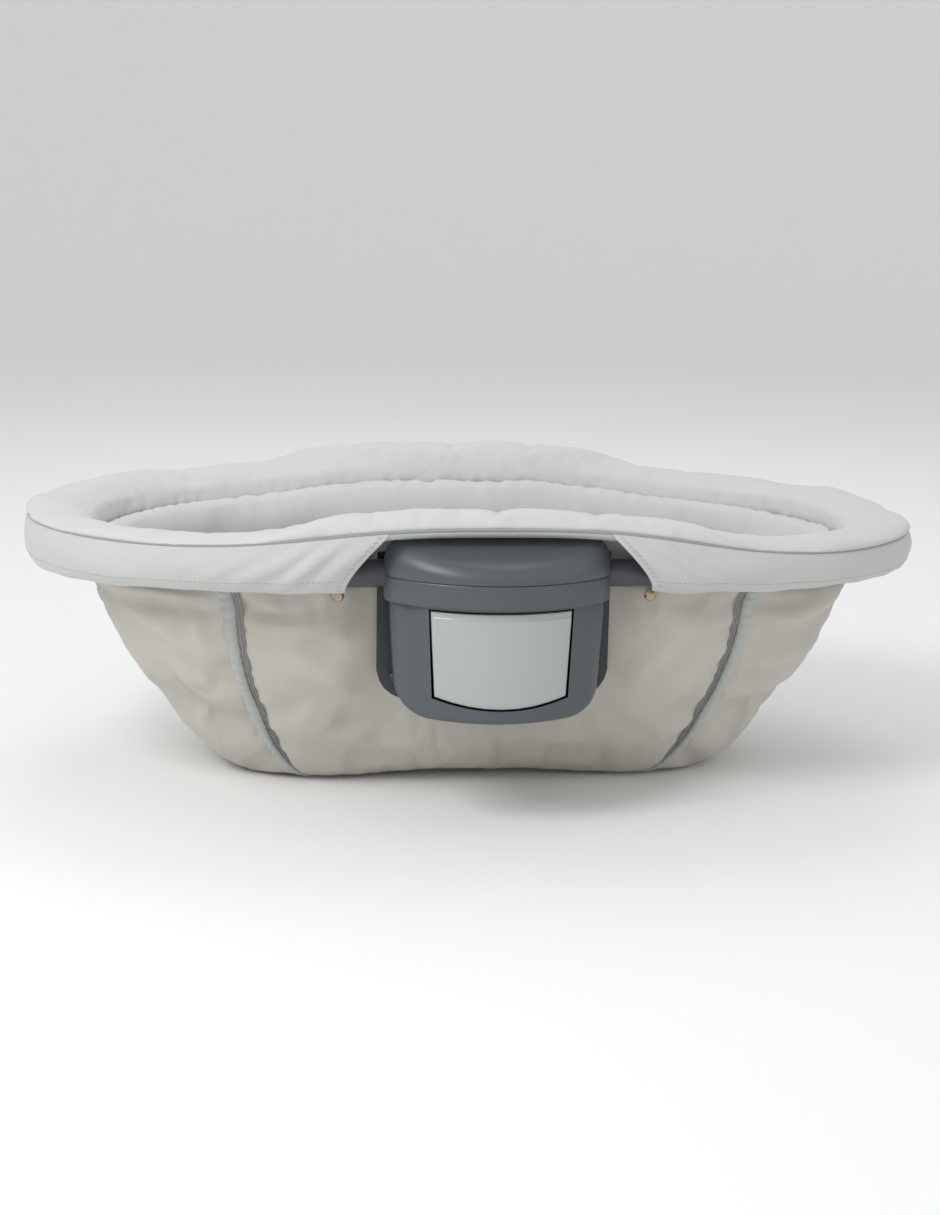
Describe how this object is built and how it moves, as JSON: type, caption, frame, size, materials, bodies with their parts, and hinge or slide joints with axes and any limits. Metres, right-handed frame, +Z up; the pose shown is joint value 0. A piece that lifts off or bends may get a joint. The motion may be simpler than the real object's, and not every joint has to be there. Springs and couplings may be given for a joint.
{
  "type": "bouncer seat",
  "caption": "Oval fabric baby bouncer seat with a padded tube rim, a buckled harness and side hubs whose sprung paddles release it from stand posts.",
  "frame": {"origin": "on the floor, under the middle of the oval rim", "axes": "+X towards the head end, +Y to the seat's right-hand hub, +Z up"},
  "size_m": [0.764, 0.492, 0.247],
  "materials": {
    "roll_fabric": "light grey padded woven cover",
    "liner_fabric": "light grey quilted lining",
    "sling_fabric": "taupe grey woven sling",
    "hub_plastic": "dark grey satin-gloss moulding",
    "dark_plastic": "charcoal matt moulding",
    "pale_plastic": "pale grey moulding",
    "tube_paint": "dark grey powder coat",
    "steel": "zinc-plated steel",
    "webbing": "grey polyester webbing",
    "board": "grey stiffener board"
  },
  "bodies": {
    "seat": {"base_board": "board", "buckle_body": "dark_plastic", "buckle_tongue_left": "dark_plastic", "buckle_tongue_right": "dark_plastic", "crotch_strap": "webbing", "hub_back_plate_left": "dark_plastic", "hub_back_plate_right": "dark_plastic", "hub_cap_left": "hub_plastic", "hub_cap_right": "hub_plastic", "hub_housing_left": "hub_plastic", "hub_housing_right": "hub_plastic", "hub_screw_left_lower_foot": "steel", "hub_screw_left_lower_head": "steel", "hub_screw_left_upper_foot": "steel", "hub_screw_left_upper_head": "steel", "hub_screw_right_lower_foot": "steel", "hub_screw_right_lower_head": "steel", "hub_screw_right_upper_foot": "steel", "hub_screw_right_upper_head": "steel", "latch_spring_left": "steel", "latch_spring_right": "steel", "paddle_pin_left": "steel", "paddle_pin_right": "steel", "post_socket_left": "dark_plastic", "post_socket_right": "dark_plastic", "rim_bolster": "roll_fabric", "rim_tube_foot": "tube_paint", "rim_tube_head": "tube_paint", "seat_liner": "liner_fabric", "sling_shell": "sling_fabric", "sling_snap_left_foot": "steel", "sling_snap_left_head": "steel", "sling_snap_right_foot": "steel", "sling_snap_right_head": "steel", "tube_joiner_left": "steel", "tube_joiner_right": "steel", "waist_strap_left": "webbing", "waist_strap_right": "webbing"},
    "paddle_left": {"release_paddle_left": "pale_plastic"},
    "paddle_right": {"release_paddle_right": "pale_plastic"},
    "latch_left": {"latch_slider_left": "steel"},
    "latch_right": {"latch_slider_right": "steel"},
    "button": {"buckle_button": "pale_plastic"},
    "slider_left": {"strap_slider_left": "dark_plastic"},
    "slider_right": {"strap_slider_right": "dark_plastic"}
  },
  "joints": [
    {"name": "paddle_left_press", "type": "hinge", "parent": "seat", "child": "paddle_left", "pos_m": [0, -0.224, 0.17], "axis": [1, 0, 0], "range_deg": [0, 4.5]},
    {"name": "paddle_right_press", "type": "hinge", "parent": "seat", "child": "paddle_right", "pos_m": [0, 0.224, 0.17], "axis": [-1, 0, 0], "range_deg": [0, 4.5]},
    {"name": "latch_left_slide", "type": "slide", "parent": "seat", "child": "latch_left", "axis": [0, 1, 0], "range_m": [0, 0.0034], "stiffness_N_per_m": 200, "springref_m": -0.004, "deforming": ["latch_spring_left"]},
    {"name": "latch_right_slide", "type": "slide", "parent": "seat", "child": "latch_right", "axis": [0, -1, 0], "range_m": [0, 0.0034], "stiffness_N_per_m": 200, "springref_m": -0.004, "deforming": ["latch_spring_right"]},
    {"name": "buckle_button_press", "type": "slide", "parent": "seat", "child": "button", "axis": [0, 0, -1], "range_m": [0, 0.003], "stiffness_N_per_m": 600, "springref_m": -0.003},
    {"name": "strap_slider_left_shift", "type": "slide", "parent": "seat", "child": "slider_left", "axis": [0, 0.506, -0.8625], "range_m": [-0.01, 0.01]},
    {"name": "strap_slider_right_shift", "type": "slide", "parent": "seat", "child": "slider_right", "axis": [0, -0.506, -0.8625], "range_m": [-0.01, 0.01]}
  ],
  "couplings": [
    {"joint": "latch_left_slide", "follows": "paddle_left_press", "m_per_rad": 0.042},
    {"joint": "latch_right_slide", "follows": "paddle_right_press", "m_per_rad": 0.042}
  ]
}
